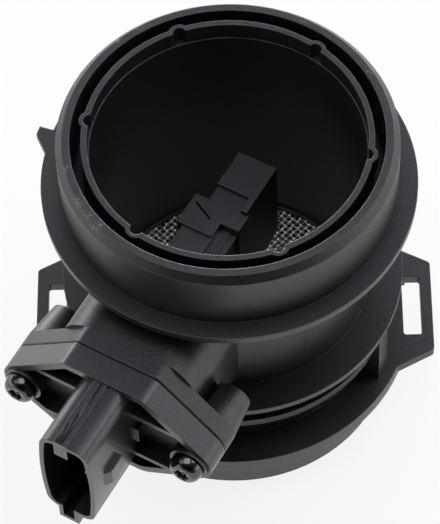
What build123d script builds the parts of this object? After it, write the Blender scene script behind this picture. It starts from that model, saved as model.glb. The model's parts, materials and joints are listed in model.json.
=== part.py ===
from build123d import *
from math import cos, hypot, radians, sin, tan
import os

os.makedirs("parts", exist_ok=True)

# A mass airflow sensor for a car's intake pipe.
#
# The bore axis is Z. Air comes in through the collar at the bottom (Z = 0), which plugs into
# the filter box, and leaves through the hose spigot at the top. The plug-in sensor enters the
# side of the tube along the direction "outward". Millimetres throughout.

# ---------------------------------------------------------------- flow tube
overall_height = 116.0
bore_radius = 40.5
tube_wall = 2.0
spigot_gap = 3.2
spigot_wall = 4.2
spigot_length = 21.5
lip_chamfer_width = 1.9
lip_chamfer_height = 2.3
lip_inner_bevel = 0.5
ring_drop = 0.6
ring_relief = 0.25
gap_depth = 19.0
notch_count = 6
notch_first_angle = 50.0
notch_radius = 2.0
notch_wall = 1.2
notch_length = 6.0

hose_stop_reach = 5.6
hose_stop_thickness = 2.3
clamp_lug_reach = 4.3
clamp_lug_middle = 149.0
clamp_lug_spacing = 22.0
clamp_lug_tip = 2.9
clamp_lug_slope = 5.7
clamp_lug_root = 1.5

waist_flange_reach = 9.6
waist_flange_thickness = 2.1
waist_lap = 3.4
waist_fillet = 4.0
hose_stop_bevel = 3.0
base_bevel = 1.6

lower_tube_wall = 4.0
ridge_reach = 4.4
ridge_share = 0.604
ridge_thickness = 2.8

# ---------------------------------------------------------------- base plate, ears and collar
base_reach = 10.5
base_top = 22.8
base_thickness = 4.8
ear_overhang = 7.0
ear_half_length = 16.0
ear_chamfer_angle = 28.0
ear_thickness = 3.4
ear_corner = 1.5
slot_length = 21.2
slot_width = 5.7
slot_overhang = 0.6
slot_corner = 0.8
gusset_angle = 28.0
gusset_length = 7.1
gusset_width = 5.5
gusset_root = 1.5
collar_reach = 4.3
collar_wall = 3.8
collar_depth = 16.0
screen_ledge = 2.3
screen_seat = 25.0

# ---------------------------------------------------------------- inlet screen
screen_frame_height = 3.6
screen_lap = 1.1
screen_clearance = 0.2
mesh_thickness = 1.0
mesh_wire = 1.0
mesh_pitch = 7.6
snap_ring_height = 1.5
snap_ring_width = 3.2
snap_ring_bite = 0.9
snap_ring_play = 0.1
snap_ring_gap_angle = 16.0

# ---------------------------------------------------------------- sensor seat on the tube
sensor_angle = 240.0
sensor_clearance = 5.7
neck_width = 45.0
neck_top = 21.5
neck_bottom = 20.5
neck_corner = 12.0
neck_overlap = 10.5
neck_length = 23.2
seat_thickness = 5.7
seat_bevel = 0.4
entry_width = 30.0
entry_height = 37.0
entry_corner = 6.0
entry_chamfer = 1.0
plug_clearance = 0.25

screw_spacing = 56.0
screw_drop = 0.7
flange_end_radius = 7.0
flange_top_half_width = 12.0
flange_bottom_half_width = 9.0
flange_top_corner = 3.5
flange_bottom_corner = 8.0
pillar_length = 11.5
pillar_end_radius = 5.6

# ---------------------------------------------------------------- plug-in sensor
sensor_flange_thickness = 8.3
flange_rim = 2.4
flange_rib = 1.6
flange_rib_up = 10.0
flange_rib_down = 11.5
flange_bevel = 0.4
pocket_depth = 5.0
screw_boss_radius = 6.1
screw_boss_height = 1.0
screw_hole_clearance = 0.3

shroud_length = 23.0
shroud_side_shift = 0.7
shroud_lift = 1.3
shroud_half_height = 17.6
shroud_end_half_width = 6.2
shroud_mid_half_width = 7.6
shroud_corner = 3.0
shroud_wall = 1.4
shroud_floor = 3.0
key_shift = -1.1
key_width = 4.4
key_depth = 5.2
key_slot_width = 3.8
key_slot_depth = 5.6
key_band_height = 0.6
latch_up = 3.6
latch_down = 2.9
latch_reach = 3.0
latch_start = 9.5
latch_length = 6.0
latch_ramp = 3.5
root_block_side = 9.4
root_block_width = 2.8
root_block_height = 6.5
root_block_lift = -0.2

terminal_count = 5
terminal_pitch = 5.2
terminal_width = 0.8
terminal_height = 2.0
terminal_recess = 9.0
terminal_tail = 5.0

barrel_setback = 0.5
seal_depth = 8.7
seal_width = 3.0
seal_groove_width = 3.8
seal_groove_depth = 2.3
seal_gap = 0.05

# probe in the air stream: distances run outward from the bore axis, heights from the
# middle of the sensor
probe_tip = -17.0
probe_top = 17.5
probe_bottom = 16.0
probe_half_width = 6.5
tip_block_end = -4.0
step_depth = 1.8
head_start = 1.6
head_end = 13.0
head_top = 16.6
head_slit_place = (6.0, -5.9)
head_slit_angle = 63.0
head_slit_length = 7.6
head_slit_width = 0.7
head_slit_depth = 2.4
root_top = 15.6
wing_width = 4.3
wing_root_width = 2.5
wing_bottom = 6.0
probe_tip_round = 4.0
ledge_top = 13.6
ledge_start = 7.6
ledge_side = 1.0

cover_thickness = 2.0
cover_margin = 1.0
cover_joint = 0.2
cover_lip = 0.5
cover_tab = 0.7

channel_width = 4.2
channel_depth = 8.0
channel_inlet = -11.8
channel_return = -2.6
channel_turn_height = 8.0
channel_outlet_height = -9.0
outlet_window_height = 6.0

chamber_start = 5.0
chamber_end_wall = 2.0
chamber_half_height = 12.4
chamber_depth = 8.5
chamber_corner = 1.5

carrier_thickness = 1.0
carrier_play = 0.1
board_thickness = 0.7
board_start = 11.0
board_margin = 1.0
gel_thickness = 2.2
chip_size = 7.0
chip_thickness = 1.2
chip_place = 22.0
chip_bevel = 0.2
capacitor_length = 2.4
capacitor_width = 1.4
capacitor_thickness = 1.2
capacitor_pitch = 5.0
capacitor_place = 32.0
capacitor_count = 4
holder_half_height = 2.2
holder_end = -4.4
holder_thickness = 1.4
holder_joint = 0.3
film_length = 3.0
film_height = 2.6
film_thickness = 0.4

thermistor_radius = 0.65
thermistor_length = 2.6
thermistor_lead = 0.25
window_place = 6.3
window_length = 5.0
window_height = 6.0
window_lift = 6.0
window_depth = 3.2

# ---------------------------------------------------------------- fasteners
screw_radius = 2.4
screw_head_radius = 5.1
screw_head_height = 4.0
screw_head_bevel = 1.4
screw_length = 17.0
recess_radius = 2.4
recess_sides = 6
recess_depth = 2.0
recess_pin = 0.55
insert_radius = 3.6
insert_length = 9.5
insert_collar_radius = 4.4
insert_collar_height = 0.8
thread_play = 0.06

# ---------------------------------------------------------------- derived sizes
tube_radius = bore_radius + tube_wall
lower_tube_radius = bore_radius + lower_tube_wall
ring_top = overall_height - ring_drop
ring_relief_radius = bore_radius + ring_relief
ring_relief_bottom = ring_top - notch_length
spigot_inner = tube_radius + spigot_gap
spigot_radius = spigot_inner + spigot_wall
gap_floor = overall_height - gap_depth
hose_stop_radius = spigot_radius + hose_stop_reach
hose_stop_top = overall_height - spigot_length
hose_stop_bottom = hose_stop_top - hose_stop_thickness
clamp_lug_radius = hose_stop_radius + clamp_lug_reach
sensor_height = hose_stop_bottom - sensor_clearance - neck_top
waist_flange_radius = tube_radius + waist_flange_reach
waist_flange_top = sensor_height - neck_bottom + waist_lap
waist_flange_bottom = waist_flange_top - waist_flange_thickness
ridge_radius = lower_tube_radius + ridge_reach
ridge_top = base_top + ridge_share * (waist_flange_bottom - base_top)
ridge_bottom = ridge_top - ridge_thickness
base_radius = lower_tube_radius + base_reach
base_bottom = base_top - base_thickness
ear_reach = base_radius + ear_overhang
slot_middle = base_radius + slot_overhang
gusset_reach = lower_tube_radius + gusset_length
collar_radius = lower_tube_radius + collar_reach
collar_inner = collar_radius - collar_wall
screen_bore_radius = bore_radius + screen_ledge
screen_frame_inner = bore_radius - screen_lap
neck_root = bore_radius - neck_overlap
seam = tube_radius + neck_length
seat_back = seam - seat_thickness
pillar_end = seat_back - pillar_length
sensor_face = seam + sensor_flange_thickness
barrel_inner_end = tube_radius + barrel_setback
seal_position = seam - seal_depth
chamber_end = barrel_inner_end - chamber_end_wall
boss_face = sensor_face + screw_boss_height
shroud_mouth = sensor_face + shroud_length
screw_side = screw_spacing / 2
plug_width = entry_width - 2 * plug_clearance
plug_height = entry_height - 2 * plug_clearance
plug_corner = entry_corner - plug_clearance
frame_outer = screen_bore_radius - screen_clearance
frame_bottom = screen_seat - screen_frame_height
snap_ring_outer = screen_bore_radius + snap_ring_bite
cover_face = probe_half_width - cover_thickness
chamber_floor = cover_face - chamber_depth
carrier_face = chamber_floor + carrier_thickness
board_face = carrier_face + board_thickness
seat_middle = (neck_top - neck_bottom) / 2
seat_height = neck_top + neck_bottom
key_x = shroud_side_shift + key_shift
key_slot_bottom = shroud_half_height + key_slot_depth
latch_root = shroud_side_shift + shroud_mid_half_width
channel_middle = (channel_inlet + channel_return) / 2
holder_face = carrier_face + holder_thickness
terminal_tip = shroud_mouth - terminal_recess
terminal_inner_end = barrel_inner_end - terminal_tail
terminal_span = terminal_pitch * (terminal_count - 1)
terminal_heights = [
    shroud_lift - terminal_span / 2 + index * terminal_pitch for index in range(terminal_count)
]
wing_face = -probe_half_width - wing_width
window_start = window_place - window_length / 2
window_end = window_place + window_length / 2
window_low = window_lift - window_height / 2
window_back = wing_face + window_depth
thermistor_across = wing_face + window_depth / 2

outward = Vector(cos(radians(sensor_angle)), sin(radians(sensor_angle)), 0)
across = Vector(-sin(radians(sensor_angle)), cos(radians(sensor_angle)), 0)
outward_axis = Axis((0, 0, 0), outward)
across_axis = Axis((0, 0, 0), across)


def sensor_plane(distance):
    """Plane square to the sensor, so far out from the bore axis: x runs across, y runs up."""
    origin = outward * distance + Vector(0, 0, sensor_height)
    return Plane(origin=origin, x_dir=across, z_dir=outward)


def side_plane(shift):
    """Upright plane along the sensor, shifted across it: x runs outward, y runs up."""
    origin = across * shift + Vector(0, 0, sensor_height)
    return Plane(origin=origin, x_dir=outward, z_dir=across * -1)


def level_plane(height):
    """Level plane at a height over the middle of the sensor: x runs outward, y runs across."""
    return Plane(origin=(0, 0, sensor_height + height), x_dir=outward, z_dir=(0, 0, 1))


def polar(radius, angle):
    """Point in the XY plane from its radius and angle in degrees."""
    return (radius * cos(radians(angle)), radius * sin(radians(angle)))


def corner(sketch, x, y):
    """The vertex of a sketch that lies nearest to a local point."""
    return sketch.vertices().sort_by(lambda v: hypot(v.X - x, v.Y - y))[0]


# ================================================================ housing
with BuildSketch(Plane.XZ) as tube_section:
    with BuildLine():
        Polyline(
            (bore_radius, screen_seat),
            (bore_radius, ring_relief_bottom),
            (ring_relief_radius, ring_relief_bottom),
            (ring_relief_radius, ring_top),
            (tube_radius, ring_top),
            (tube_radius, gap_floor),
            (spigot_inner, gap_floor),
            (spigot_inner, overall_height),
            (spigot_radius - lip_chamfer_width, overall_height),
            (spigot_radius, overall_height - lip_chamfer_height),
            (spigot_radius, hose_stop_top),
            (hose_stop_radius, hose_stop_top),
            (hose_stop_radius, hose_stop_bottom),
            (tube_radius, hose_stop_bottom),
            (tube_radius, waist_flange_top),
            (waist_flange_radius, waist_flange_top),
            (waist_flange_radius, waist_flange_bottom),
            (lower_tube_radius, waist_flange_bottom),
            (lower_tube_radius, ridge_top),
            (ridge_radius, ridge_top),
            (ridge_radius, ridge_bottom),
            (lower_tube_radius, ridge_bottom),
            (lower_tube_radius, base_top),
            (base_radius, base_top),
            (base_radius, base_bottom),
            (collar_radius, base_bottom),
            (collar_radius, 0),
            (collar_inner, 0),
            (collar_inner, collar_depth),
            (screen_bore_radius, collar_depth),
            (screen_bore_radius, screen_seat),
            close=True,
        )
    make_face()
    fillet(corner(tube_section.sketch, tube_radius, waist_flange_top), waist_fillet)
    chamfer(corner(tube_section.sketch, tube_radius, hose_stop_bottom), hose_stop_bevel)
    chamfer(corner(tube_section.sketch, lower_tube_radius, base_top), base_bevel)
    chamfer(corner(tube_section.sketch, spigot_inner, overall_height), lip_inner_bevel)

with BuildSketch(Plane.XY.offset(base_top)) as ear_outline:
    root_x = base_radius * cos(radians(ear_chamfer_angle))
    root_y = ear_half_length + (ear_reach - root_x) * tan(radians(ear_chamfer_angle))
    with BuildLine():
        Polyline(
            (root_x, root_y),
            (ear_reach, ear_half_length),
            (ear_reach, -ear_half_length),
            (root_x, -root_y),
            close=True,
        )
    make_face()
    fillet(ear_outline.vertices().group_by(Axis.X)[-1], ear_corner)
    mirror(about=Plane.YZ)

with BuildSketch(Plane.XY.offset(base_top)) as ear_slots:
    with Locations((slot_middle, 0), (-slot_middle, 0)):
        RectangleRounded(slot_width, slot_length, slot_corner)


def flange_outline(shrink=0.0):
    """Outline shared by the seat on the tube and the flange of the sensor: a flat top and
    bottom drawn in to a round end about each screw."""
    end = flange_end_radius - shrink
    top_corner = flange_top_corner - shrink
    bottom_corner = flange_bottom_corner - shrink
    top_x = flange_top_half_width
    bottom_x = flange_bottom_half_width
    with BuildSketch() as outline:
        with Locations((-screw_side, -screw_drop), (screw_side, -screw_drop)):
            Circle(end)
        with Locations((-top_x, neck_top - flange_top_corner), (top_x, neck_top - flange_top_corner)):
            Circle(top_corner)
        with Locations(
            (-bottom_x, flange_bottom_corner - neck_bottom),
            (bottom_x, flange_bottom_corner - neck_bottom),
        ):
            Circle(bottom_corner)
        make_hull()
    return outline.sketch


with BuildPart() as housing:
    revolve(tube_section.sketch, axis=Axis.Z)

    # crush notches round the end of the measuring tube: a groove inside, a bead outside
    for index in range(notch_count):
        angle = notch_first_angle + index * 360 / notch_count
        with BuildSketch(Plane.XY.offset(ring_top)):
            with Locations(polar(bore_radius, angle)):
                Circle(notch_radius + notch_wall)
            Circle(ring_relief_radius, mode=Mode.SUBTRACT)
        extrude(amount=-notch_length)
        with BuildSketch(Plane.XY.offset(ring_top)):
            with Locations(polar(bore_radius, angle)):
                Circle(notch_radius)
        extrude(amount=-notch_length, mode=Mode.SUBTRACT)

    # two lugs on the hose stop that keep the clamp's screw in place
    for side in (-1, 1):
        inner_angle = clamp_lug_middle + side * clamp_lug_spacing / 2
        with BuildSketch(Plane.XY.offset(hose_stop_bottom)):
            with BuildLine():
                Polyline(
                    polar(hose_stop_radius - clamp_lug_root, inner_angle),
                    polar(clamp_lug_radius, inner_angle),
                    polar(clamp_lug_radius, inner_angle + side * clamp_lug_tip),
                    polar(hose_stop_radius, inner_angle + side * (clamp_lug_tip + clamp_lug_slope)),
                    polar(
                        hose_stop_radius - clamp_lug_root,
                        inner_angle + side * (clamp_lug_tip + clamp_lug_slope),
                    ),
                    close=True,
                )
            make_face()
        extrude(amount=hose_stop_thickness)

    # ears of the base plate
    extrude(ear_outline.sketch, amount=-ear_thickness)

    # gussets between the waist flange and the base plate
    for angle in (gusset_angle, 180 - gusset_angle, 180 + gusset_angle, -gusset_angle):
        with BuildSketch(Plane.XY.offset(base_top)):
            with Locations(Rotation(0, 0, angle)):
                with Locations(((gusset_reach + lower_tube_radius) / 2 - gusset_root / 2, 0)):
                    Rectangle(gusset_reach - lower_tube_radius + gusset_root, gusset_width)
        extrude(amount=waist_flange_bottom - base_top)

    # neck, seat and screw pillars for the sensor
    with BuildSketch(sensor_plane(neck_root)):
        with Locations((0, seat_middle)):
            RectangleRounded(neck_width, seat_height, neck_corner)
    extrude(amount=seat_back - neck_root)
    with BuildSketch(sensor_plane(seat_back)):
        add(flange_outline())
    extrude(amount=seam - seat_back)
    chamfer(housing.faces().sort_by(outward_axis)[-1].edges(), seat_bevel)
    for side in (-1, 1):
        with BuildSketch(sensor_plane(seat_back)):
            with Locations((side * screw_side, -screw_drop)):
                Circle(flange_end_radius)
        with BuildSketch(sensor_plane(pillar_end)):
            with Locations((side * screw_side, -screw_drop)):
                Circle(pillar_end_radius)
        loft()

    # bore for the plug-in sensor, then the bore of the tube itself
    with BuildSketch(sensor_plane(seam)):
        RectangleRounded(entry_width, entry_height, entry_corner)
    extrude(amount=neck_root - seam, mode=Mode.SUBTRACT)
    with BuildSketch(sensor_plane(seam)):
        RectangleRounded(
            entry_width + 2 * entry_chamfer,
            entry_height + 2 * entry_chamfer,
            entry_corner + entry_chamfer,
        )
    extrude(amount=-entry_chamfer, taper=45, mode=Mode.SUBTRACT)
    with BuildSketch(Plane.XY.offset(screen_seat)):
        Circle(bore_radius)
    extrude(amount=hose_stop_bottom - screen_seat, mode=Mode.SUBTRACT)

    # holes for the threaded inserts
    with BuildSketch(sensor_plane(seam)):
        with Locations((-screw_side, -screw_drop), (screw_side, -screw_drop)):
            Circle(insert_radius)
    extrude(amount=-insert_length, mode=Mode.SUBTRACT)
    with BuildSketch(sensor_plane(seam)):
        with Locations((-screw_side, -screw_drop), (screw_side, -screw_drop)):
            Circle(insert_collar_radius)
    extrude(amount=-insert_collar_height, mode=Mode.SUBTRACT)

    # slots of the ears and the groove of the snap ring
    extrude(ear_slots.sketch, amount=-base_thickness, mode=Mode.SUBTRACT)
    with BuildSketch(Plane.XY.offset(frame_bottom)):
        Circle(snap_ring_outer)
        Circle(screen_bore_radius - snap_ring_play, mode=Mode.SUBTRACT)
    extrude(amount=-snap_ring_height - snap_ring_play, mode=Mode.SUBTRACT)

housing.part.label = "housing"
export_step(housing.part, "parts/housing.step")

# ================================================================ inlet screen
mesh_radius = screen_frame_inner + mesh_wire
mesh_bottom = frame_bottom + (screen_frame_height - mesh_thickness) / 2

with BuildPart() as screen_frame:
    with BuildSketch(Plane.XY.offset(frame_bottom)):
        Circle(frame_outer)
        Circle(screen_frame_inner, mode=Mode.SUBTRACT)
    extrude(amount=screen_frame_height)
    with BuildSketch(Plane.XY.offset(mesh_bottom)):
        Circle(mesh_radius)
    extrude(amount=mesh_thickness, mode=Mode.SUBTRACT)
screen_frame.part.label = "screen_frame"
export_step(screen_frame.part, "parts/screen_frame.step")

with BuildPart() as screen_mesh:
    mesh_cells = int(2 * screen_frame_inner / mesh_pitch)
    mesh_gap = mesh_pitch - mesh_wire
    with BuildSketch(Plane.XY.offset(mesh_bottom)):
        Circle(mesh_radius)
        with BuildSketch(mode=Mode.SUBTRACT) as mesh_gaps:
            with GridLocations(mesh_pitch, mesh_pitch, mesh_cells, mesh_cells):
                Rectangle(mesh_gap, mesh_gap)
            Circle(screen_frame_inner - mesh_wire, mode=Mode.INTERSECT)
    extrude(amount=mesh_thickness)
screen_mesh.part.label = "screen_mesh"
export_step(screen_mesh.part, "parts/screen_mesh.step")

with BuildPart() as snap_ring:
    with BuildSketch(Plane.XY.offset(frame_bottom)):
        Circle(snap_ring_outer - snap_ring_play)
        Circle(snap_ring_outer - snap_ring_play - snap_ring_width, mode=Mode.SUBTRACT)
        with BuildSketch(mode=Mode.SUBTRACT):
            with BuildLine():
                Polyline(
                    (0, 0),
                    polar(2 * snap_ring_outer, -snap_ring_gap_angle / 2),
                    polar(2 * snap_ring_outer, snap_ring_gap_angle / 2),
                    close=True,
                )
            make_face()
    extrude(amount=-snap_ring_height)
snap_ring.part.label = "snap_ring"
export_step(snap_ring.part, "parts/snap_ring.step")


# ================================================================ plug-in sensor moulding
def shroud_outline(grow=0.0):
    """Outline of the connector socket, with slightly bowed long sides."""
    half_height = shroud_half_height + grow
    end_half = shroud_end_half_width + grow
    mid_half = shroud_mid_half_width + grow
    with BuildSketch() as outline:
        with BuildLine():
            Line((-end_half, half_height), (end_half, half_height))
            ThreePointArc((end_half, half_height), (mid_half, 0), (end_half, -half_height))
            Line((end_half, -half_height), (-end_half, -half_height))
            ThreePointArc((-end_half, -half_height), (-mid_half, 0), (-end_half, half_height))
        make_face()
        fillet(outline.vertices(), shroud_corner + grow)
    return outline.sketch


def probe_box(start, end, low, high, left, right):
    """Outline for a block of the probe and how far to extrude it: start and end run outward,
    low and high are heights, left and right run across the sensor."""
    with BuildSketch(side_plane(right)) as outline:
        with Locations((start, low)):
            Rectangle(end - start, high - low, align=(Align.MIN, Align.MIN))
    return outline.sketch, right - left


with BuildPart() as sensor_body:
    # mounting flange with its ribbed pockets and screw bosses
    with BuildSketch(sensor_plane(seam)):
        add(flange_outline())
    extrude(amount=sensor_flange_thickness)
    flange_edges = sensor_body.faces().sort_by(outward_axis)[0].edges()
    chamfer(flange_edges, flange_bevel)
    with BuildSketch(sensor_plane(sensor_face)):
        add(flange_outline(flange_rim))
        with Locations((-screw_side, -screw_drop), (screw_side, -screw_drop)):
            Circle(screw_boss_radius, mode=Mode.SUBTRACT)
        with Locations((0, flange_rib_up), (0, -flange_rib_down)):
            Rectangle(screw_spacing, flange_rib, mode=Mode.SUBTRACT)
    extrude(amount=-pocket_depth, mode=Mode.SUBTRACT)
    with BuildSketch(sensor_plane(sensor_face)):
        with Locations((-screw_side, -screw_drop), (screw_side, -screw_drop)):
            Circle(screw_boss_radius)
    extrude(amount=screw_boss_height)

    # connector socket with its key, key slot and latch
    with BuildSketch(sensor_plane(sensor_face - pocket_depth)):
        with Locations((shroud_side_shift, shroud_lift)):
            add(shroud_outline(shroud_wall))
        with Locations((key_x, shroud_lift - key_slot_bottom / 2)):
            Rectangle(key_slot_width + 2 * shroud_wall, key_slot_bottom + 2 * shroud_wall)
        with Locations((key_x, shroud_lift + shroud_half_height)):
            Rectangle(key_width, 2 * (shroud_wall + key_band_height))
    extrude(amount=shroud_length + pocket_depth)
    with BuildSketch(sensor_plane(sensor_face + shroud_floor)):
        with Locations((shroud_side_shift, shroud_lift)):
            add(shroud_outline())
        with Locations((key_x, shroud_lift - key_slot_bottom / 2)):
            Rectangle(key_slot_width, key_slot_bottom)
        with Locations((key_x, shroud_lift + shroud_half_height - key_depth / 2)):
            Rectangle(key_width, key_depth, mode=Mode.SUBTRACT)
    extrude(amount=shroud_length, mode=Mode.SUBTRACT)
    with BuildSketch(level_plane(latch_up)):
        with BuildLine():
            Polyline(
                (sensor_face + latch_start, latch_root),
                (sensor_face + latch_start, latch_root + latch_reach),
                (sensor_face + latch_start + latch_length, latch_root + latch_reach),
                (sensor_face + latch_start + latch_length + latch_ramp, latch_root),
                close=True,
            )
        make_face()
    extrude(amount=-latch_up - latch_down)
    with BuildSketch(sensor_plane(sensor_face - pocket_depth)):
        with Locations((root_block_side, root_block_lift)):
            Rectangle(root_block_width, root_block_height)
    extrude(amount=pocket_depth)

    # barrel that fills the bore of the seat, with the groove of its seal
    with BuildSketch(sensor_plane(barrel_inner_end)):
        RectangleRounded(plug_width, plug_height, plug_corner)
    extrude(amount=seam - barrel_inner_end)
    with BuildSketch(sensor_plane(seal_position - seal_groove_width / 2)):
        RectangleRounded(plug_width, plug_height, plug_corner)
        RectangleRounded(
            plug_width - 2 * seal_groove_depth,
            plug_height - 2 * seal_groove_depth,
            plug_corner - seal_groove_depth,
            mode=Mode.SUBTRACT,
        )
    extrude(amount=seal_groove_width, mode=Mode.SUBTRACT)

    # probe in the air stream, drawn from the side
    with BuildSketch(side_plane(cover_face)) as probe_section:
        with BuildLine():
            Polyline(
                (probe_tip, -probe_bottom),
                (probe_tip, probe_top),
                (tip_block_end, probe_top),
                (tip_block_end, probe_top - step_depth),
                (head_start, probe_top - step_depth),
                (head_start, head_top),
                (head_end, head_top),
                (head_end, root_top),
                (barrel_inner_end, root_top),
                (barrel_inner_end, -probe_bottom),
                close=True,
            )
        make_face()
        fillet(corner(probe_section.sketch_local, probe_tip, -probe_bottom), probe_tip_round)
    extrude(amount=cover_face + probe_half_width)
    outline, depth = probe_box(
        head_start, head_end, -wing_bottom, head_top, wing_face, -probe_half_width
    )
    extrude(outline, amount=depth)
    outline, depth = probe_box(
        head_end, barrel_inner_end, -wing_bottom, root_top,
        -probe_half_width - wing_root_width, -probe_half_width,
    )
    extrude(outline, amount=depth)
    outline, depth = probe_box(
        ledge_start, barrel_inner_end, ledge_top, head_top + cover_margin, ledge_side, cover_face
    )
    extrude(outline, amount=depth, mode=Mode.SUBTRACT)

    # bypass channel: up from the inlet on the windward edge, round a bend and down past the
    # sensing film, then out through a window in the side wall
    with BuildSketch(side_plane(cover_face)):
        with BuildLine():
            Line((channel_inlet, -probe_bottom - channel_width), (channel_inlet, channel_turn_height))
            ThreePointArc(
                (channel_inlet, channel_turn_height),
                (channel_middle, channel_turn_height + channel_middle - channel_inlet),
                (channel_return, channel_turn_height),
            )
            Line((channel_return, channel_turn_height), (channel_return, channel_outlet_height))
        trace(line_width=channel_width)
    extrude(amount=channel_depth, mode=Mode.SUBTRACT)
    with BuildSketch(side_plane(cover_face)):
        with Locations((channel_return, channel_outlet_height + outlet_window_height / 2)):
            Rectangle(channel_width, outlet_window_height)
    extrude(amount=cover_face + probe_half_width, mode=Mode.SUBTRACT)

    # electronics chamber and the slot that the chip holder reaches through
    with BuildSketch(side_plane(cover_face)):
        with Locations(((chamber_start + chamber_end) / 2, 0)):
            RectangleRounded(chamber_end - chamber_start, 2 * chamber_half_height, chamber_corner)
    extrude(amount=chamber_depth, mode=Mode.SUBTRACT)
    with BuildSketch(side_plane(holder_face)):
        with Locations(((holder_end + chamber_start) / 2, 0)):
            Rectangle(chamber_start + chamber_corner - holder_end, 2 * holder_half_height)
    extrude(amount=holder_thickness, mode=Mode.SUBTRACT)

    # slots of the terminals, holes for the screws, the window of the air thermistor and the slit
    # on top of the head
    for height in terminal_heights:
        with BuildSketch(sensor_plane(terminal_inner_end)):
            with Locations((shroud_side_shift, height)):
                Rectangle(terminal_width, terminal_height)
        extrude(amount=sensor_face + shroud_floor - terminal_inner_end, mode=Mode.SUBTRACT)
    with BuildSketch(sensor_plane(seam)):
        with Locations((-screw_side, -screw_drop), (screw_side, -screw_drop)):
            Circle(screw_radius + screw_hole_clearance)
    extrude(amount=boss_face - seam, mode=Mode.SUBTRACT)
    outline, depth = probe_box(
        window_start, window_end, window_low, window_low + window_height, wing_face, window_back
    )
    extrude(outline, amount=depth, mode=Mode.SUBTRACT)
    with BuildSketch(level_plane(head_top)):
        with Locations(Location(head_slit_place, head_slit_angle)):
            Rectangle(head_slit_length, head_slit_width)
    extrude(amount=-head_slit_depth, mode=Mode.SUBTRACT)
sensor_body.part.label = "sensor_body"
export_step(sensor_body.part, "parts/sensor_body.step")

# ================================================================ covers and seal of the sensor
with BuildPart() as bypass_cover:
    with BuildSketch(side_plane(probe_half_width)) as cover_section:
        with BuildLine():
            Polyline(
                (probe_tip, -probe_bottom),
                (probe_tip, probe_top + cover_lip),
                (head_start - cover_joint, probe_top + cover_lip),
                (head_start - cover_joint, -probe_bottom),
                close=True,
            )
        make_face()
        fillet(corner(cover_section.sketch_local, probe_tip, -probe_bottom), probe_tip_round)
    extrude(amount=cover_thickness)
bypass_cover.part.label = "bypass_cover"
export_step(bypass_cover.part, "parts/bypass_cover.step")

with BuildPart() as electronics_cover:
    with BuildSketch(side_plane(probe_half_width)):
        with Locations((head_start, 0)):
            Rectangle(
                barrel_inner_end - cover_joint - head_start,
                2 * (chamber_half_height + cover_margin),
                align=(Align.MIN, Align.CENTER),
            )
    extrude(amount=cover_thickness)
    with BuildSketch(side_plane(probe_half_width + cover_tab)):
        with Locations((head_start, 0)):
            Rectangle(ledge_start - head_start, head_top, align=(Align.MIN, Align.MIN))
    extrude(amount=cover_tab + cover_thickness)
electronics_cover.part.label = "electronics_cover"
export_step(electronics_cover.part, "parts/electronics_cover.step")

with BuildPart() as seal_ring:
    with BuildSketch(sensor_plane(seal_position - seal_width / 2)):
        RectangleRounded(
            entry_width - 2 * seal_gap, entry_height - 2 * seal_gap, entry_corner - seal_gap
        )
        RectangleRounded(
            plug_width - 2 * (seal_groove_depth - seal_gap),
            plug_height - 2 * (seal_groove_depth - seal_gap),
            plug_corner - seal_groove_depth + seal_gap,
            mode=Mode.SUBTRACT,
        )
    extrude(amount=seal_width)
seal_ring.part.label = "seal_ring"
export_step(seal_ring.part, "parts/seal_ring.step")

# ================================================================ electronics inside the chamber
with BuildPart() as carrier_plate:
    with BuildSketch(side_plane(carrier_face)):
        with Locations(((chamber_start + chamber_end) / 2, 0)):
            RectangleRounded(
                chamber_end - chamber_start - 2 * carrier_play,
                2 * (chamber_half_height - carrier_play),
                chamber_corner - carrier_play,
            )
    extrude(amount=carrier_thickness)
carrier_plate.part.label = "carrier_plate"
export_step(carrier_plate.part, "parts/carrier_plate.step")

board_end = chamber_end - board_margin
board_half_height = chamber_half_height - board_margin
with BuildPart() as circuit_board:
    with BuildSketch(side_plane(board_face)):
        with Locations((board_start, 0)):
            Rectangle(board_end - board_start, 2 * board_half_height, align=(Align.MIN, Align.CENTER))
    extrude(amount=board_thickness)
circuit_board.part.label = "circuit_board"
export_step(circuit_board.part, "parts/circuit_board.step")

with BuildPart() as control_chip:
    with BuildSketch(side_plane(board_face)):
        with Locations((chip_place, 0)):
            Rectangle(chip_size, chip_size)
    extrude(amount=-chip_thickness)
    chamfer(control_chip.faces().sort_by(across_axis)[-1].edges(), chip_bevel)
control_chip.part.label = "control_chip"
export_step(control_chip.part, "parts/control_chip.step")

with BuildPart() as capacitors:
    with BuildSketch(side_plane(board_face)):
        with Locations((capacitor_place, 0)):
            with GridLocations(1, capacitor_pitch, 1, capacitor_count):
                Rectangle(capacitor_length, capacitor_width)
    extrude(amount=-capacitor_thickness)
capacitors.part.label = "capacitors"
export_step(capacitors.part, "parts/capacitors.step")

with BuildPart() as gel_fill:
    with BuildSketch(side_plane(board_face)):
        with Locations((board_start, 0)):
            Rectangle(board_end - board_start, 2 * board_half_height, align=(Align.MIN, Align.CENTER))
    extrude(amount=-gel_thickness)
    add(control_chip.part, mode=Mode.SUBTRACT)
    add(capacitors.part, mode=Mode.SUBTRACT)
gel_fill.part.label = "gel_fill"
export_step(gel_fill.part, "parts/gel_fill.step")

with BuildPart() as chip_holder:
    with BuildSketch(side_plane(holder_face)):
        with Locations((holder_end, 0)):
            Rectangle(
                board_start - holder_joint - holder_end,
                2 * holder_half_height,
                align=(Align.MIN, Align.CENTER),
            )
    extrude(amount=holder_thickness)
    with BuildSketch(side_plane(holder_face)):
        with Locations((channel_return, 0)):
            Rectangle(film_length, film_height)
    extrude(amount=film_thickness, mode=Mode.SUBTRACT)
chip_holder.part.label = "chip_holder"
export_step(chip_holder.part, "parts/chip_holder.step")

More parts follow.
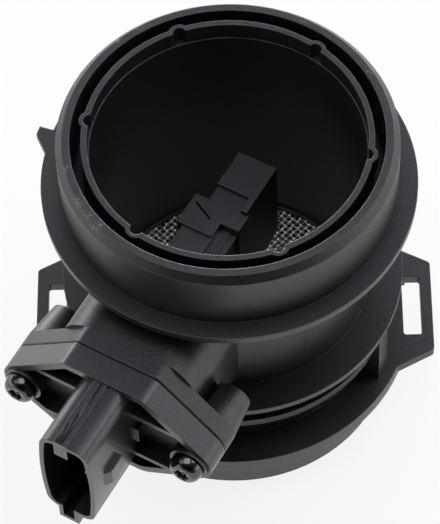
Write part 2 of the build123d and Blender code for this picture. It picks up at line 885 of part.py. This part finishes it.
with BuildPart() as hot_film_chip:
    with BuildSketch(side_plane(holder_face)):
        with Locations((channel_return, 0)):
            Rectangle(film_length, film_height)
    extrude(amount=film_thickness)
hot_film_chip.part.label = "hot_film_chip"
export_step(hot_film_chip.part, "parts/hot_film_chip.step")

with BuildPart() as air_thermistor:
    with BuildSketch(sensor_plane(window_start)):
        with Locations((thermistor_across, window_lift)):
            Circle(thermistor_lead)
    extrude(amount=window_length)
    with BuildSketch(sensor_plane(window_place - thermistor_length / 2)):
        with Locations((thermistor_across, window_lift)):
            Circle(thermistor_radius)
    extrude(amount=thermistor_length)
air_thermistor.part.label = "air_thermistor"
export_step(air_thermistor.part, "parts/air_thermistor.step")

# ================================================================ terminals
for index, height in enumerate(terminal_heights):
    with BuildPart() as terminal:
        with BuildSketch(sensor_plane(terminal_inner_end)):
            with Locations((shroud_side_shift, height)):
                Rectangle(terminal_width, terminal_height)
        extrude(amount=terminal_tip - terminal_inner_end)
        tip_edges = terminal.faces().sort_by(outward_axis)[-1].edges()
        chamfer(tip_edges, terminal_width / 4)
    terminal.part.label = f"terminal_{index + 1}"
    export_step(terminal.part, f"parts/terminal_{index + 1}.step")

# ================================================================ screws and threaded inserts
for side, name in ((-1, "left"), (1, "right")):
    spot = Location((side * screw_side, -screw_drop))
    with BuildPart() as screw:
        with BuildSketch(sensor_plane(boss_face)):
            with Locations(spot):
                Circle(screw_head_radius)
        extrude(amount=screw_head_height)
        chamfer(screw.faces().sort_by(outward_axis)[-1].edges(), screw_head_bevel)
        with BuildSketch(sensor_plane(boss_face + screw_head_height)):
            with Locations(spot):
                RegularPolygon(recess_radius, recess_sides)
                Circle(recess_pin, mode=Mode.SUBTRACT)
        extrude(amount=-recess_depth, mode=Mode.SUBTRACT)
        with BuildSketch(sensor_plane(boss_face)):
            with Locations(spot):
                Circle(screw_radius)
        extrude(amount=-screw_length)
    screw.part.label = f"sensor_screw_{name}"
    export_step(screw.part, f"parts/sensor_screw_{name}.step")

    with BuildPart() as insert:
        with BuildSketch(sensor_plane(seam)):
            with Locations(spot):
                Circle(insert_collar_radius)
        extrude(amount=-insert_collar_height)
        with BuildSketch(sensor_plane(seam)):
            with Locations(spot):
                Circle(insert_radius)
        extrude(amount=-insert_length)
        with BuildSketch(sensor_plane(seam)):
            with Locations(spot):
                Circle(screw_radius + thread_play)
        extrude(amount=-insert_length, mode=Mode.SUBTRACT)
    insert.part.label = f"threaded_insert_{name}"
    export_step(insert.part, f"parts/threaded_insert_{name}.step")
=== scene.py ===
import json
from math import atan2, cos, pi, radians, sin, sqrt

import bmesh
import bpy
from mathutils import Matrix, Vector


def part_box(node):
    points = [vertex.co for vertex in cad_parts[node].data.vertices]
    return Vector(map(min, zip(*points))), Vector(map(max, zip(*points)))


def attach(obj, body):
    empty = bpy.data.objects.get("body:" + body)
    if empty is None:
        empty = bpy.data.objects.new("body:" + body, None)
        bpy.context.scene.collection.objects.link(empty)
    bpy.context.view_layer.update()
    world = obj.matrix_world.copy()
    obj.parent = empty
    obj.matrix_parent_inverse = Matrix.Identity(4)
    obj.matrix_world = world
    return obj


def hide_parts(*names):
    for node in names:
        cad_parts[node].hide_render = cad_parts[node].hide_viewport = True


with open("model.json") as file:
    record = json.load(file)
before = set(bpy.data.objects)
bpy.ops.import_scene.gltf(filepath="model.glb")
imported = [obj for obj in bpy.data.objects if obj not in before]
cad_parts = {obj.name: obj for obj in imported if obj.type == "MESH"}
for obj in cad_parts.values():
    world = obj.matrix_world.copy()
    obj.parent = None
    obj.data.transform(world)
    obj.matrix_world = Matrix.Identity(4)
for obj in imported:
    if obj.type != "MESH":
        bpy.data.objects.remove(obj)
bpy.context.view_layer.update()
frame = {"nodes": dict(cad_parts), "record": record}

MM = 0.001

# camera of the studio shot
CAMERA_PLACE = Vector((11.33, -503.48, 818.46)) * MM
CAMERA_ELEVATION = 56.761
CAMERA_HEADING = 1.7226
CAMERA_ROLL = -2.628
CAMERA_LENS = 206.1
CAMERA_SENSOR = 36.0

# floor and walls of the studio; the walls' stops run from the horizon up, by the sine of the height
FLOOR_REACH = 6.0
FLOOR_GLOW = 0.85
FLOOR_TONES = (0.92, 0.95)
FLOOR_ROUGHNESS = 0.9
COLLAR_RADIUS = 48.0
WORLD_FRONT = 0.05
WORLD_FRONT_ENDS = (-0.75, -0.35)
WORLD_STOPS = (
    (0.0, (2.0, 2.0, 2.0)),
    (0.28, (1.75, 1.79, 1.85)),
    (0.42, (0.23, 0.24, 0.27)),
    (0.75, (0.065, 0.07, 0.08)),
)

# soft boxes, as place, aim, width and height in metres, and radiance
BOX_COLOUR = (0.95, 0.985, 1.05)
SOFT_BOXES = {
    "back_low_box": ((0.0, 2.4, 0.42), (0.0, 0.0, 0.08), (3.4, 0.8), 7.0),
    "back_high_box": ((0.0, 2.1, 1.3), (0.0, 0.0, 0.08), (3.4, 1.0), 1.4),
    "top_box": ((0.0, 0.0, 2.2), (0.0, 0.0, 0.05), (1.4, 1.4), 2.3),
    "right_box": ((1.3, 0.3, 1.4), (0.0, 0.0, 0.06), (1.0, 1.2), 2.4),
    "left_box": ((-1.1, -0.1, 1.75), (0.0, 0.0, 0.06), (1.0, 1.2), 0.9),
}

# inlet screen of woven wire; each wire has some steps along one pitch
WEAVE_PITCH = 1.78
WEAVE_WIRE = 0.41
WEAVE_LIFT = 0.42
WEAVE_TURN = 46.7
WEAVE_STEPS = 4
WEAVE_SIDES = 6

# black moulded plastic, each look in the order dark, light and roughness
PLASTIC_IOR = 1.62
SENSOR_POLISH = 0.35
POLISH_ROUGHNESS = 0.14
FIBRE_LIFT = 5.0
# painted edge highlight and rubbed wear: how much lighter the rounded edges are coloured
RUB_AND_HIGHLIGHT_LIFT = 14.0
# painted crease shade: the shine is turned down in seams and tight corners so they read darker
CREASE_REACH = 1.3
CREASE_SHADE_SPECULAR = (0.03, 0.5)
HOUSING_LOOK = ((0.0062, 0.0067, 0.0077), (0.0095, 0.0102, 0.0115), 0.36)
SENSOR_LOOK = ((0.0082, 0.0088, 0.01), (0.0115, 0.0123, 0.0138), 0.36)
# the cover is darker than the sensor body, partly as painted shade for the probe down in the bore
COVER_LOOK = ((0.005, 0.0053, 0.006), (0.008, 0.0084, 0.0093), 0.42)
SCREEN_LOOK = ((0.007, 0.0073, 0.008), (0.011, 0.0114, 0.0122), 0.45)
CHIP_LOOK = ((0.012, 0.012, 0.0125), (0.019, 0.019, 0.0195), 0.5)

# plating of the screws, and the metal that shows through it on worn edges
SCREW_PLATING = (0.08, 0.08, 0.085)
SCREW_WEAR = (0.7, 0.7, 0.7)

# worn places on the lip, as angle, radius and reach
SCUFF_HEIGHT = 115.8
SCUFF_COLOUR = (0.16, 0.16, 0.17)
LIP_SCUFFS = (
    (-153.0, 47.2, 3.2),
    (-146.5, 47.4, 2.4),
    (-141.0, 47.7, 3.0),
    (-167.0, 47.5, 2.0),
    (61.0, 46.6, 1.6),
    (79.0, 49.0, 2.2),
    (122.0, 48.6, 2.6),
    (133.0, 48.2, 2.2),
    (28.0, 48.0, 2.4),
)

# parting lines of the mould on the tube; a ridge's size is its half width and its rise
RIDGE_ROOT = 0.2
PARTING_ANGLES = {"parting_line_front": -59.5, "parting_line_back": 120.5}
TUBE_RADIUS = 42.5
PARTING_ENDS = (47.9, 92.2)
PARTING_SIZE = (0.22, 0.12)

# ribs on top of the cable socket, as shift across it and root, up to its mouth
SOCKET_RIBS = {
    "socket_rib_left": (-1.75, 90.0),
    "socket_rib_middle": (-0.9, 86.0),
    "socket_rib_right": (-0.05, 74.2),
}
SOCKET_TOP = 85.9
SOCKET_MOUTH = 96.9
RIB_SIZE = (0.42, 0.36)

# sensor direction and screws, as in the part; the recess has six lobes round a pin
SENSOR_ANGLE = 240.0
SENSOR_HEIGHT = 65.0
SCREW_SIDE = 28.0
SCREW_DROP = 0.7
SCREW_FACE = 75.0
HEAD_RADIUS = 5.1
HEAD_HEIGHT = 4.0
HEAD_SKIRT = 0.5
SHANK_RADIUS = 2.4
SHANK_LENGTH = 17.0
RECESS_RADIUS = 2.15
RECESS_LOBE = 0.32
RECESS_LOBES = 6
RECESS_DEPTH = 2.1
RECESS_BEVEL = 0.18
PIN_RADIUS = 0.62
PIN_DROP = 0.5
HEAD_SEGMENTS = 96
ROUND_STEPS = 8


# ---------------------------------------------------------------- shader helpers
class Shader:
    """A new material with a principled shader, and short calls that add nodes to it."""

    def __init__(self, name):
        self.material = bpy.data.materials.new(name)
        self.material.use_nodes = True
        self.tree = self.material.node_tree
        self.principled = self.tree.nodes["Principled BSDF"]
        self.place = self.add("ShaderNodeTexCoord").outputs["Object"]

    def add(self, kind, **settings):
        """Adds a node and sets its properties."""
        node = self.tree.nodes.new(kind)
        for key, value in settings.items():
            setattr(node, key, value)
        return node

    def link(self, source, target):
        self.tree.links.new(source, target)

    @staticmethod
    def put(node, **values):
        """Sets inputs of a node, with _ in their names for a space."""
        for key, value in values.items():
            node.inputs[key.replace("_", " ")].default_value = value

    def noise(self, scale_mm, detail=3.0, roughness=0.55):
        """Noise with features of about the given size in millimetres."""
        node = self.add("ShaderNodeTexNoise")
        self.put(node, Scale=1 / (scale_mm * MM), Detail=detail, Roughness=roughness)
        self.link(self.place, node.inputs["Vector"])
        return node.outputs["Fac"]

    def cells(self, scale_mm):
        """Distance to the nearest of many scattered points, for specks and pits."""
        node = self.add("ShaderNodeTexVoronoi")
        self.put(node, Scale=1 / (scale_mm * MM))
        self.link(self.place, node.inputs["Vector"])
        return node.outputs["Distance"]

    def remap(self, value, low, high, new_low, new_high):
        """Maps one range of values to another, clamped at both ends."""
        node = self.add("ShaderNodeMapRange", clamp=True)
        self.link(value, node.inputs["Value"])
        self.put(node, From_Min=low, From_Max=high, To_Min=new_low, To_Max=new_high)
        return node.outputs["Result"]

    def math(self, operation, first, second):
        """Result for two values; each may be a number or a socket."""
        node = self.add("ShaderNodeMath", operation=operation)
        for socket, value in zip(node.inputs, (first, second)):
            if isinstance(value, float):
                socket.default_value = value
            else:
                self.link(value, socket)
        return node.outputs[0]

    def mix(self, factor, first, second):
        """Mix of two colours; each may be a colour or a socket."""
        node = self.add("ShaderNodeMix", data_type="RGBA")
        self.link(factor, node.inputs["Factor"])
        for socket, value in ((node.inputs[6], first), (node.inputs[7], second)):
            if isinstance(value, tuple):
                socket.default_value = (*value, 1.0)
            else:
                self.link(value, socket)
        return node.outputs[2]

    def edge(self, radius_mm):
        """Rounded shading normal, and a mask that is 1 on sharp edges of that width."""
        bevel = self.add("ShaderNodeBevel", samples=6)
        self.put(bevel, Radius=radius_mm * MM)
        geometry = self.add("ShaderNodeNewGeometry")
        dot = self.add("ShaderNodeVectorMath", operation="DOT_PRODUCT")
        self.link(bevel.outputs["Normal"], dot.inputs[0])
        self.link(geometry.outputs["Normal"], dot.inputs[1])
        return bevel.outputs["Normal"], self.remap(dot.outputs["Value"], 0.97, 0.8, 0.0, 1.0)

    def scuff(self, place, reach_mm):
        """Mask of scattered scratches around one worn place."""
        apart = self.add("ShaderNodeVectorMath", operation="DISTANCE")
        self.link(self.place, apart.inputs[0])
        apart.inputs[1].default_value = place
        near = self.remap(apart.outputs["Value"], 0.4 * reach_mm * MM, reach_mm * MM, 1.0, 0.0)
        return self.math("MULTIPLY", near, self.remap(self.noise(0.9, 5.0, 0.7), 0.5, 0.62, 0.0, 1.0))

    def crease(self, reach_mm):
        """Openness within a short reach: low in seams and tight corners."""
        node = self.add("ShaderNodeAmbientOcclusion", samples=8)
        self.put(node, Distance=reach_mm * MM)
        return node.outputs["AO"]

    def bump(self, height, distance_mm, strength, normal):
        """Normal that is bent by a height, on top of the normal given."""
        node = self.add("ShaderNodeBump")
        self.put(node, Distance=distance_mm * MM, Strength=strength)
        self.link(height, node.inputs["Height"])
        self.link(normal, node.inputs["Normal"])
        return node.outputs["Normal"]

    def set(self, **sockets):
        """Links or sets sockets of the principled shader."""
        for key, value in sockets.items():
            socket = self.principled.inputs[key.replace("_", " ")]
            if isinstance(value, (float, tuple)):
                socket.default_value = value
            else:
                self.link(value, socket)


# ---------------------------------------------------------------- materials
def moulded_plastic(name, dark, light, roughness, grain=1.0, edge_mm=0.4, scuffs=(), polish=0.0):
    """Glass-filled moulded plastic: fine spark-eroded grain, flow clouds, pale fibre specks, and
    edges that are rounded and coloured lighter, partly as rubbed wear and partly as a painted
    highlight. Scuffs are (angle, radius, reach) on the lip, and polish is a clear sheen over the
    grain."""
    s = Shader(name)
    normal, edge = s.edge(edge_mm)
    clouds = s.remap(s.noise(9.0, 5.0), 0.32, 0.68, 0.0, 1.0)
    colour = s.mix(clouds, dark, light)
    fibres = s.remap(s.noise(0.5, 2.0), 0.6, 0.72, 0.0, 0.5)
    colour = s.mix(fibres, colour, tuple(FIBRE_LIFT * value for value in light))
    # rounded edges coloured much lighter: partly rubbed wear, partly a painted highlight
    rub_and_highlight = s.math("MULTIPLY", edge, s.remap(s.noise(1.8, 4.0), 0.36, 0.64, 0.2, 1.0))
    colour = s.mix(rub_and_highlight, colour, tuple(RUB_AND_HIGHLIGHT_LIFT * value for value in light))
    for angle, radius, reach in scuffs:
        turn = radians(angle)
        place = Vector((radius * cos(turn), radius * sin(turn), SCUFF_HEIGHT)) * MM
        colour = s.mix(s.scuff(place, reach), colour, SCUFF_COLOUR)
    rough = s.remap(s.noise(1.2, 6.0, 0.65), 0.3, 0.7, roughness - 0.03, roughness + 0.05)
    bumped = s.bump(s.noise(0.5, 2.0, 0.6), 0.2, 0.5 * grain, normal)
    s.set(Base_Color=colour, Roughness=rough, Normal=bumped, IOR=PLASTIC_IOR)
    # painted shade: specular level falls in seams and tight corners
    s.set(Specular_IOR_Level=s.remap(s.crease(CREASE_REACH), 0.38, 0.78, *CREASE_SHADE_SPECULAR))
    s.set(Coat_Weight=polish, Coat_Roughness=POLISH_ROUGHNESS, Coat_IOR=1.5)
    return s.material


def metal(name, dark, light, roughness, streak_mm=0.3, edge_mm=0.15):
    """Bare or plated metal with fine drawing marks and slightly brighter edges."""
    s = Shader(name)
    normal, edge = s.edge(edge_mm)
    marks = s.noise(streak_mm, 4.0, 0.7)
    colour = s.mix(s.remap(marks, 0.3, 0.7, 0.0, 1.0), dark, light)
    colour = s.mix(s.math("MULTIPLY", edge, 0.4), colour, tuple(min(1.0, 1.2 * v) for v in light))
    rough = s.remap(marks, 0.3, 0.7, roughness - 0.06, roughness + 0.08)
    s.set(Base_Color=colour, Roughness=rough, Metallic=1.0)
    s.set(Normal=s.bump(marks, 0.02, 0.35, normal))
    return s.material


def coated_screw():
    """Black nickel plating under clear lacquer, bright where the edges of the recess are worn."""
    s = Shader("screw_coating")
    normal, edge = s.edge(0.12)
    patches = s.remap(s.noise(0.8, 4.0), 0.35, 0.6, 0.35, 1.0)
    wear = s.math("MULTIPLY", edge, patches)
    colour = s.mix(wear, SCREW_PLATING, SCREW_WEAR)
    rough = s.remap(s.noise(0.6, 4.0), 0.3, 0.7, 0.1, 0.18)
    s.set(Base_Color=colour, Roughness=rough, Metallic=1.0)
    s.set(Coat_Weight=0.5, Coat_Roughness=0.05)
    s.set(Normal=s.bump(s.noise(0.7, 3.0), 0.02, 0.25, normal))
    return s.material


def soft_rubber(name, dark, light, roughness):
    """Matt rubber or gel with a dusty bloom."""
    s = Shader(name)
    normal = s.edge(0.2)[0]
    bloom = s.remap(s.noise(2.0, 4.0), 0.35, 0.7, 0.0, 1.0)
    colour = s.mix(bloom, dark, light)
    rough = s.remap(s.noise(1.0, 3.0), 0.3, 0.7, roughness - 0.05, roughness + 0.05)
    s.set(Base_Color=colour, Roughness=rough, Normal=s.bump(s.noise(0.3, 3.0), 0.03, 0.4, normal))
    return s.material


def laminate():
    """Coated circuit board: the weave of the glass cloth shows faintly through the coating."""
    s = Shader("board_laminate")
    normal, edge = s.edge(0.1)
    wave = s.add("ShaderNodeTexWave")
    s.put(wave, Scale=400.0, Distortion=1.5)
    s.link(s.place, wave.inputs["Vector"])
    colour = s.mix(wave.outputs["Fac"], (0.03, 0.15, 0.07), (0.05, 0.2, 0.1))
    colour = s.mix(edge, colour, (0.3, 0.33, 0.2))
    rough = s.remap(s.noise(1.0), 0.3, 0.7, 0.28, 0.4)
    s.set(Base_Color=colour, Roughness=rough, Normal=s.bump(wave.outputs["Fac"], 0.01, 0.3, normal))
    return s.material


def ceramic(name, dark, light, roughness):
    """Fired or glassy small component with speckled body."""
    s = Shader(name)
    normal, edge = s.edge(0.1)
    specks = s.remap(s.cells(0.35), 0.0, 0.5, 0.0, 1.0)
    colour = s.mix(specks, dark, light)
    rough = s.remap(s.noise(0.5), 0.3, 0.7, roughness - 0.04, roughness + 0.06)
    s.set(Base_Color=colour, Roughness=rough, Normal=s.bump(specks, 0.01, 0.2, normal))
    return s.material


MATERIALS = {
    "housing_plastic": moulded_plastic("housing_plastic", *HOUSING_LOOK, scuffs=LIP_SCUFFS),
    "sensor_plastic": moulded_plastic("sensor_plastic", *SENSOR_LOOK, polish=SENSOR_POLISH),
    "cover_plastic": moulded_plastic("cover_plastic", *COVER_LOOK),
    "screen_plastic": moulded_plastic("screen_plastic", *SCREEN_LOOK),
    "screen_wire": metal("screen_wire", (0.84, 0.83, 0.8), (0.98, 0.97, 0.94), 0.26, 0.5),
    "spring_steel": metal("spring_steel", (0.36, 0.36, 0.37), (0.5, 0.5, 0.51), 0.32),
    "seal_rubber": soft_rubber("seal_rubber", (0.02, 0.02, 0.021), (0.04, 0.04, 0.042), 0.62),
    "carrier_metal": metal("carrier_metal", (0.58, 0.58, 0.59), (0.72, 0.72, 0.73), 0.35),
    "board_laminate": laminate(),
    "chip_case": moulded_plastic("chip_case", *CHIP_LOOK, grain=0.5, edge_mm=0.1),
    "capacitor_case": ceramic("capacitor_case", (0.28, 0.19, 0.12), (0.42, 0.3, 0.2), 0.38),
    "gel": soft_rubber("gel", (0.62, 0.63, 0.6), (0.74, 0.75, 0.72), 0.2),
    "film_silicon": ceramic("film_silicon", (0.1, 0.1, 0.15), (0.2, 0.2, 0.27), 0.12),
    "thermistor_glass": ceramic("thermistor_glass", (0.3, 0.17, 0.06), (0.45, 0.28, 0.11), 0.15),
    "terminal_plating": metal("terminal_plating", (0.55, 0.55, 0.53), (0.74, 0.74, 0.71), 0.28),
    "screw_coating": coated_screw(),
    "insert_brass": metal("insert_brass", (0.55, 0.4, 0.17), (0.75, 0.58, 0.3), 0.3),
}


def dress(piece, material_slot):
    """Gives a piece or CAD node the one material of its slot."""
    piece.data.materials.clear()
    piece.data.materials.append(MATERIALS[material_slot])


# ---------------------------------------------------------------- mesh helpers
def new_piece(name, mesh, replaced, material_slot):
    """Adds an object that rides with the part, and stands for a CAD node if one is named."""
    piece = bpy.data.objects.new(name, mesh)
    bpy.context.scene.collection.objects.link(piece)
    mesh.polygons.foreach_set("use_smooth", [True] * len(mesh.polygons))
    dress(piece, material_slot)
    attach(piece, "root")
    if replaced:
        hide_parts(replaced)


def ring_surface(name, rings):
    """Mesh through a list of rings of points, all with the same count, closed at both ends."""
    mesh = bmesh.new()
    rows = [[mesh.verts.new(point) for point in ring] for ring in rings]
    count = len(rows[0])
    for lower, upper in zip(rows, rows[1:]):
        for index in range(count):
            following = (index + 1) % count
            mesh.faces.new((lower[index], lower[following], upper[following], upper[index]))
    mesh.faces.new(list(reversed(rows[0])))
    mesh.faces.new(rows[-1])
    bmesh.ops.recalc_face_normals(mesh, faces=mesh.faces)
    data = bpy.data.meshes.new(name)
    mesh.to_mesh(data)
    mesh.free()
    return data


def sensor_axes():
    """Directions outward along the sensor, across it and up."""
    turn = radians(SENSOR_ANGLE)
    outward = Vector((cos(turn), sin(turn), 0.0))
    across = Vector((-sin(turn), cos(turn), 0.0))
    return outward, across, Vector((0.0, 0.0, 1.0))


# ---------------------------------------------------------------- woven inlet screen
def woven_screen():
    """Two layers of wires that pass over and under each other, cut to the round frame."""
    low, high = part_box("screen_mesh")
    reach = (high.x - low.x) / 2 - WEAVE_WIRE * MM
    height = (low.z + high.z) / 2
    pitch = WEAVE_PITCH * MM
    half_count = int(reach / pitch)
    mesh = bmesh.new()
    for turned in (False, True):
        for number in range(-half_count, half_count + 1):
            shift = number * pitch
            half_length = sqrt(max(reach * reach - shift * shift, 0.0))
            if half_length < pitch:
                continue
            wire_along(mesh, shift, half_length, height, number, turned)
    data = bpy.data.meshes.new("woven_screen")
    bmesh.ops.rotate(mesh, verts=mesh.verts, matrix=Matrix.Rotation(radians(WEAVE_TURN), 3, "Z"))
    mesh.to_mesh(data)
    mesh.free()
    new_piece("woven_screen", data, "screen_mesh", "screen_wire")


def wire_along(mesh, shift, half_length, height, number, turned):
    """One wavy wire of the screen, swept as a tube along its centre line."""
    pitch = WEAVE_PITCH * MM
    radius = WEAVE_WIRE * MM
    step = pitch / WEAVE_STEPS
    count = int(2 * half_length / step) + 1
    phase = number + (1 if turned else 0)
    previous = None
    first = None
    for index in range(count + 1):
        along = -half_length + 2 * half_length * index / count
        angle = pi * (along / pitch + phase)
        lift = WEAVE_LIFT * MM * cos(angle)
        slope = atan2(-WEAVE_LIFT * MM * pi / pitch * sin(angle), 1.0)
        ring = []
        for side in range(WEAVE_SIDES):
            turn = 2 * pi * side / WEAVE_SIDES
            cross = radius * cos(turn)
            rise = radius * sin(turn)
            local = (along - rise * sin(slope), shift + cross, height + lift + rise * cos(slope))
            if turned:
                local = (-local[1], local[0], local[2])
            ring.append(mesh.verts.new(local))
        if previous:
            for side in range(WEAVE_SIDES):
                following = (side + 1) % WEAVE_SIDES
                mesh.faces.new((previous[side], previous[following], ring[following], ring[side]))
        else:
            first = ring
        previous = ring
    mesh.faces.new(list(reversed(first)))
    mesh.faces.new(previous)


# ---------------------------------------------------------------- fine ridges
def fine_ridge(name, start, end, across, away, size, material_slot):
    """Three-sided ridge along a surface from start to end, with its root sunk in the surface."""
    half_width, rise = size
    section = ((-half_width, -RIDGE_ROOT), (0.0, rise), (half_width, -RIDGE_ROOT))
    mesh = bmesh.new()
    ends = []
    for place in (start, end):
        points = [(place + across * side + away * height) * MM for side, height in section]
        ends.append([mesh.verts.new(point) for point in points])
    low, high = ends
    for first, second in ((0, 1), (1, 2), (2, 0)):
        mesh.faces.new((low[first], low[second], high[second], high[first]))
    mesh.faces.new(list(reversed(low)))
    mesh.faces.new(high)
    bmesh.ops.recalc_face_normals(mesh, faces=mesh.faces)
    data = bpy.data.meshes.new(name)
    mesh.to_mesh(data)
    mesh.free()
    new_piece(name, data, None, material_slot)


def parting_line(name, angle):
    """Ridge that the two halves of the mould leave along the tube, between its flanges."""
    turn = radians(angle)
    radial = Vector((cos(turn), sin(turn), 0.0))
    tangent = Vector((-sin(turn), cos(turn), 0.0))
    low, high = (radial * TUBE_RADIUS + Vector((0.0, 0.0, height)) for height in PARTING_ENDS)
    fine_ridge(name, low, high, tangent, radial, PARTING_SIZE, "housing_plastic")


def socket_rib(name, shift, root):
    """Rib along the top of the cable socket, from its root to the mouth."""
    outward, across, up = sensor_axes()
    line = across * shift + up * SOCKET_TOP
    low, high = (line + outward * distance for distance in (root, SOCKET_MOUTH))
    fine_ridge(name, low, high, across, up, RIB_SIZE, "sensor_plastic")


# ---------------------------------------------------------------- sensor screws
def screw_rings():
    """Rings of points of a button-head screw with a lobed recess and its centre pin. The
    underside of the head is at height 0, and the head points up."""
    angles = [2 * pi * number / HEAD_SEGMENTS for number in range(HEAD_SEGMENTS)]

    def circle(radius, height):
        return [(radius * cos(angle), radius * sin(angle), height) for angle in angles]

    def lobes(grow, height):
        ring = []
        for angle in angles:
            radius = RECESS_RADIUS + grow + RECESS_LOBE * cos(RECESS_LOBES * angle)
            ring.append((radius * cos(angle), radius * sin(angle), height))
        return ring

    rings = [circle(SHANK_RADIUS, -SHANK_LENGTH), circle(SHANK_RADIUS, 0.0)]
    rings.append(circle(HEAD_RADIUS - HEAD_SKIRT / 3, 0.0))
    rings.append(circle(HEAD_RADIUS, HEAD_SKIRT / 3))
    rings.append(circle(HEAD_RADIUS, HEAD_SKIRT))
    crown = RECESS_RADIUS + RECESS_LOBE + 2 * RECESS_BEVEL
    for step in range(1, ROUND_STEPS + 1):
        turn = pi / 2 * step / ROUND_STEPS
        radius = crown + (HEAD_RADIUS - crown) * cos(turn)
        rings.append(circle(radius, HEAD_SKIRT + (HEAD_HEIGHT - HEAD_SKIRT) * sin(turn)))
    rings.append(lobes(RECESS_BEVEL, HEAD_HEIGHT))
    rings.append(lobes(0.0, HEAD_HEIGHT - RECESS_BEVEL))
    rings.append(lobes(0.0, HEAD_HEIGHT - RECESS_DEPTH))
    rings.append(circle(PIN_RADIUS, HEAD_HEIGHT - RECESS_DEPTH))
    rings.append(circle(PIN_RADIUS, HEAD_HEIGHT - PIN_DROP))
    return rings


def sensor_screw(name, node, side):
    """One screw, with its head facing outward along the sensor's direction."""
    outward, across, up = sensor_axes()
    origin = outward * SCREW_FACE + across * SCREW_SIDE * side
    origin += up * (SENSOR_HEIGHT - SCREW_DROP)
    rings = []
    for ring in screw_rings():
        rings.append([(origin + across * x + up * y + outward * z) * MM for x, y, z in ring])
    new_piece(name, ring_surface(name, rings), node, "screw_coating")


# ---------------------------------------------------------------- stage, light and camera
def studio_floor():
    """Plain white floor. Camera, mirror and glass rays see mostly its glow, so it stays white,
    and the rest is lit paper that keeps the part's shadow. Under the part it only takes shadow."""
    data = bpy.data.meshes.new("floor")
    signs = ((-1, -1), (1, -1), (1, 1), (-1, 1))
    corners = [(x * FLOOR_REACH, y * FLOOR_REACH, 0.0) for x, y in signs]
    data.from_pydata(corners, [], [(0, 1, 2, 3)])
    floor = bpy.data.objects.new("floor", data)
    bpy.context.scene.collection.objects.link(floor)
    s = Shader("floor_paper")
    tone = s.remap(s.noise(60.0, 2.0), 0.3, 0.7, *FLOOR_TONES)
    s.set(Roughness=FLOOR_ROUGHNESS, Base_Color=tone)
    rays = s.add("ShaderNodeLightPath").outputs
    seen = s.math("MAXIMUM", rays["Is Camera Ray"], rays["Is Glossy Ray"])
    seen = s.math("MAXIMUM", seen, rays["Is Transmission Ray"])
    distance = s.add("ShaderNodeVectorMath", operation="LENGTH")
    s.link(s.place, distance.inputs[0])
    outside = s.math("GREATER_THAN", distance.outputs["Value"], COLLAR_RADIUS * MM)
    share = s.math("MULTIPLY", s.math("MULTIPLY", seen, outside), FLOOR_GLOW)
    glow = s.add("ShaderNodeEmission")
    blend = s.add("ShaderNodeMixShader")
    s.link(share, blend.inputs[0])
    s.link(s.principled.outputs[0], blend.inputs[1])
    s.link(glow.outputs[0], blend.inputs[2])
    s.link(blend.outputs[0], s.tree.nodes["Material Output"].inputs["Surface"])
    data.materials.append(s.material)


def soft_light(name, place, target, size, radiance):
    """Large soft box aimed at a point; its face is as bright as the given radiance."""
    data = bpy.data.lights.new(name, "AREA")
    data.shape = "RECTANGLE"
    data.size, data.size_y = size
    data.energy = radiance * pi * size[0] * size[1]
    data.color = BOX_COLOUR
    light = bpy.data.objects.new(name, data)
    light.location = place
    light.rotation_mode = "QUATERNION"
    light.rotation_quaternion = (Vector(target) - Vector(place)).to_track_quat("-Z", "Y")
    bpy.context.scene.collection.objects.link(light)


def studio_world():
    """Pale walls at both sides and behind, brightest near the horizon, and a dark front."""
    world = bpy.data.worlds.new("studio")
    bpy.context.scene.world = world
    world.use_nodes = True
    nodes, links = world.node_tree.nodes, world.node_tree.links
    background = nodes["Background"]
    place = nodes.new("ShaderNodeTexCoord")
    axes = nodes.new("ShaderNodeSeparateXYZ")
    ramp = nodes.new("ShaderNodeValToRGB")
    front = nodes.new("ShaderNodeMapRange")
    links.new(place.outputs["Generated"], axes.inputs[0])
    links.new(axes.outputs["Z"], ramp.inputs[0])
    links.new(axes.outputs["Y"], front.inputs["Value"])
    limits = (*WORLD_FRONT_ENDS, WORLD_FRONT, 1.0)
    for name, value in zip(("From Min", "From Max", "To Min", "To Max"), limits):
        front.inputs[name].default_value = value
    links.new(ramp.outputs[0], background.inputs["Color"])
    links.new(front.outputs["Result"], background.inputs["Strength"])
    stops = ramp.color_ramp.elements
    stops[0].position, stops[0].color = WORLD_STOPS[0][0], (*WORLD_STOPS[0][1], 1.0)
    stops[1].position, stops[1].color = WORLD_STOPS[-1][0], (*WORLD_STOPS[-1][1], 1.0)
    for position, colour in WORLD_STOPS[1:-1]:
        stops.new(position).color = (*colour, 1.0)


def studio_camera():
    """Camera at the photograph's place and angle."""
    data = bpy.data.cameras.new("camera")
    data.lens = CAMERA_LENS
    data.sensor_width = CAMERA_SENSOR
    data.clip_end = 100.0
    camera = bpy.data.objects.new("camera", data)
    heading = Matrix.Rotation(radians(CAMERA_HEADING), 4, "Z")
    tilt = Matrix.Rotation(radians(90.0 - CAMERA_ELEVATION), 4, "X")
    roll = Matrix.Rotation(radians(CAMERA_ROLL), 4, "Z")
    camera.matrix_world = Matrix.Translation(CAMERA_PLACE) @ heading @ tilt @ roll
    bpy.context.scene.collection.objects.link(camera)
    bpy.context.scene.camera = camera


# ---------------------------------------------------------------- the scene
slots = {entry["node"]: entry["material_slot"] for entry in frame["record"]["subparts"]}
for node, piece in frame["nodes"].items():
    dress(piece, slots[node])

woven_screen()
for line_name, line_angle in PARTING_ANGLES.items():
    parting_line(line_name, line_angle)
for rib_name, rib_values in SOCKET_RIBS.items():
    socket_rib(rib_name, *rib_values)
sensor_screw("left_screw", "sensor_screw_left", -1)
sensor_screw("right_screw", "sensor_screw_right", 1)

studio_floor()
for box_name, box_values in SOFT_BOXES.items():
    soft_light(box_name, *box_values)
studio_world()
studio_camera()
bpy.context.scene.view_settings.view_transform = "Standard"
